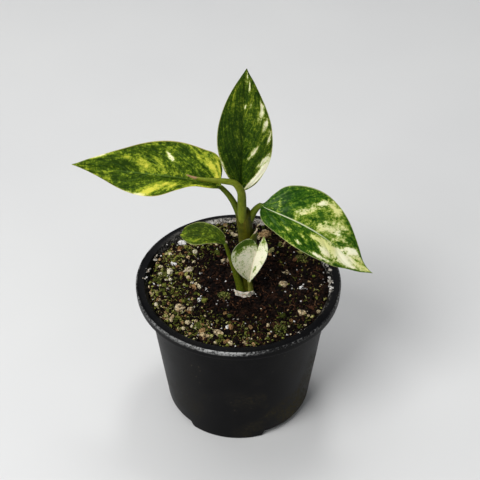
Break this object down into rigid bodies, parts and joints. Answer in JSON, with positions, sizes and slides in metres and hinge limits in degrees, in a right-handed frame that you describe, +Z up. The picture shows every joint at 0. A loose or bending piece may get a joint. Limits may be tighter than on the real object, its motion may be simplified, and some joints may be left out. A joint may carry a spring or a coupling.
{
  "type": "potted chinese evergreen",
  "caption": "Young variegated foliage plant on one stem in a round black plastic nursery pot filled with dark potting mix.",
  "frame": {"origin": "centre of the pot's flat underside, on the surface that the pot stands on", "axes": "+Z up along the pot's axis; -Y is the plant's front; +X is the right side seen from the front, where the drooping leaf is"},
  "size_m": [0.166, 0.1198, 0.2299],
  "materials": {
    "pot_plastic": "satin black injection-moulded plastic, scuffed and dusty, with pale mineral marks inside the rim",
    "peat": "dark crumbly peat with reddish fibres, bits of moss and pale specks",
    "stem_green": "olive green, smooth, fleshy, darker on the right",
    "left_leaf_green": "matt green leaf marbled with yellow-green along its veins",
    "upright_leaf_green": "green leaf with cream patches towards its lower right margin, softly glossy",
    "right_leaf_green": "glossy green leaf marbled with cream, with a pale midrib",
    "small_left_leaf_green": "dark green leaf with a pale rim",
    "small_front_leaf_cream": "cream leaf with green marbling",
    "new_leaf_green": "light olive green, with a dry brown tip",
    "sheath_green": "dark olive green with a beige dry tip",
    "papery": "dry, thin and translucent, whitish",
    "perlite": "white, rough and porous",
    "bark": "tan, rough and fibrous",
    "moss": "yellow-green tufts",
    "husk": "dry pale tan"
  },
  "bodies": {
    "root": {"bark_chip_1": "bark", "bark_chip_2": "bark", "bark_chip_3": "bark", "bark_chip_4": "bark", "bark_chip_5": "bark", "bark_chip_6": "bark", "bark_chip_7": "bark", "left_leaf": "left_leaf_green", "moss_tuft_1": "moss", "moss_tuft_2": "moss", "moss_tuft_3": "moss", "moss_tuft_4": "moss", "moss_tuft_5": "moss", "old_sheath": "sheath_green", "papery_scale": "papery", "perlite_grain_1": "perlite", "perlite_grain_2": "perlite", "perlite_grain_3": "perlite", "perlite_grain_4": "perlite", "perlite_grain_5": "perlite", "pot": "pot_plastic", "potting_mix": "peat", "right_leaf": "right_leaf_green", "rolled_new_leaf": "new_leaf_green", "seed_husk": "husk", "small_front_leaf": "small_front_leaf_cream", "small_left_leaf": "small_left_leaf_green", "stem_with_roots": "stem_green", "upright_leaf": "upright_leaf_green"}
  },
  "joints": []
}
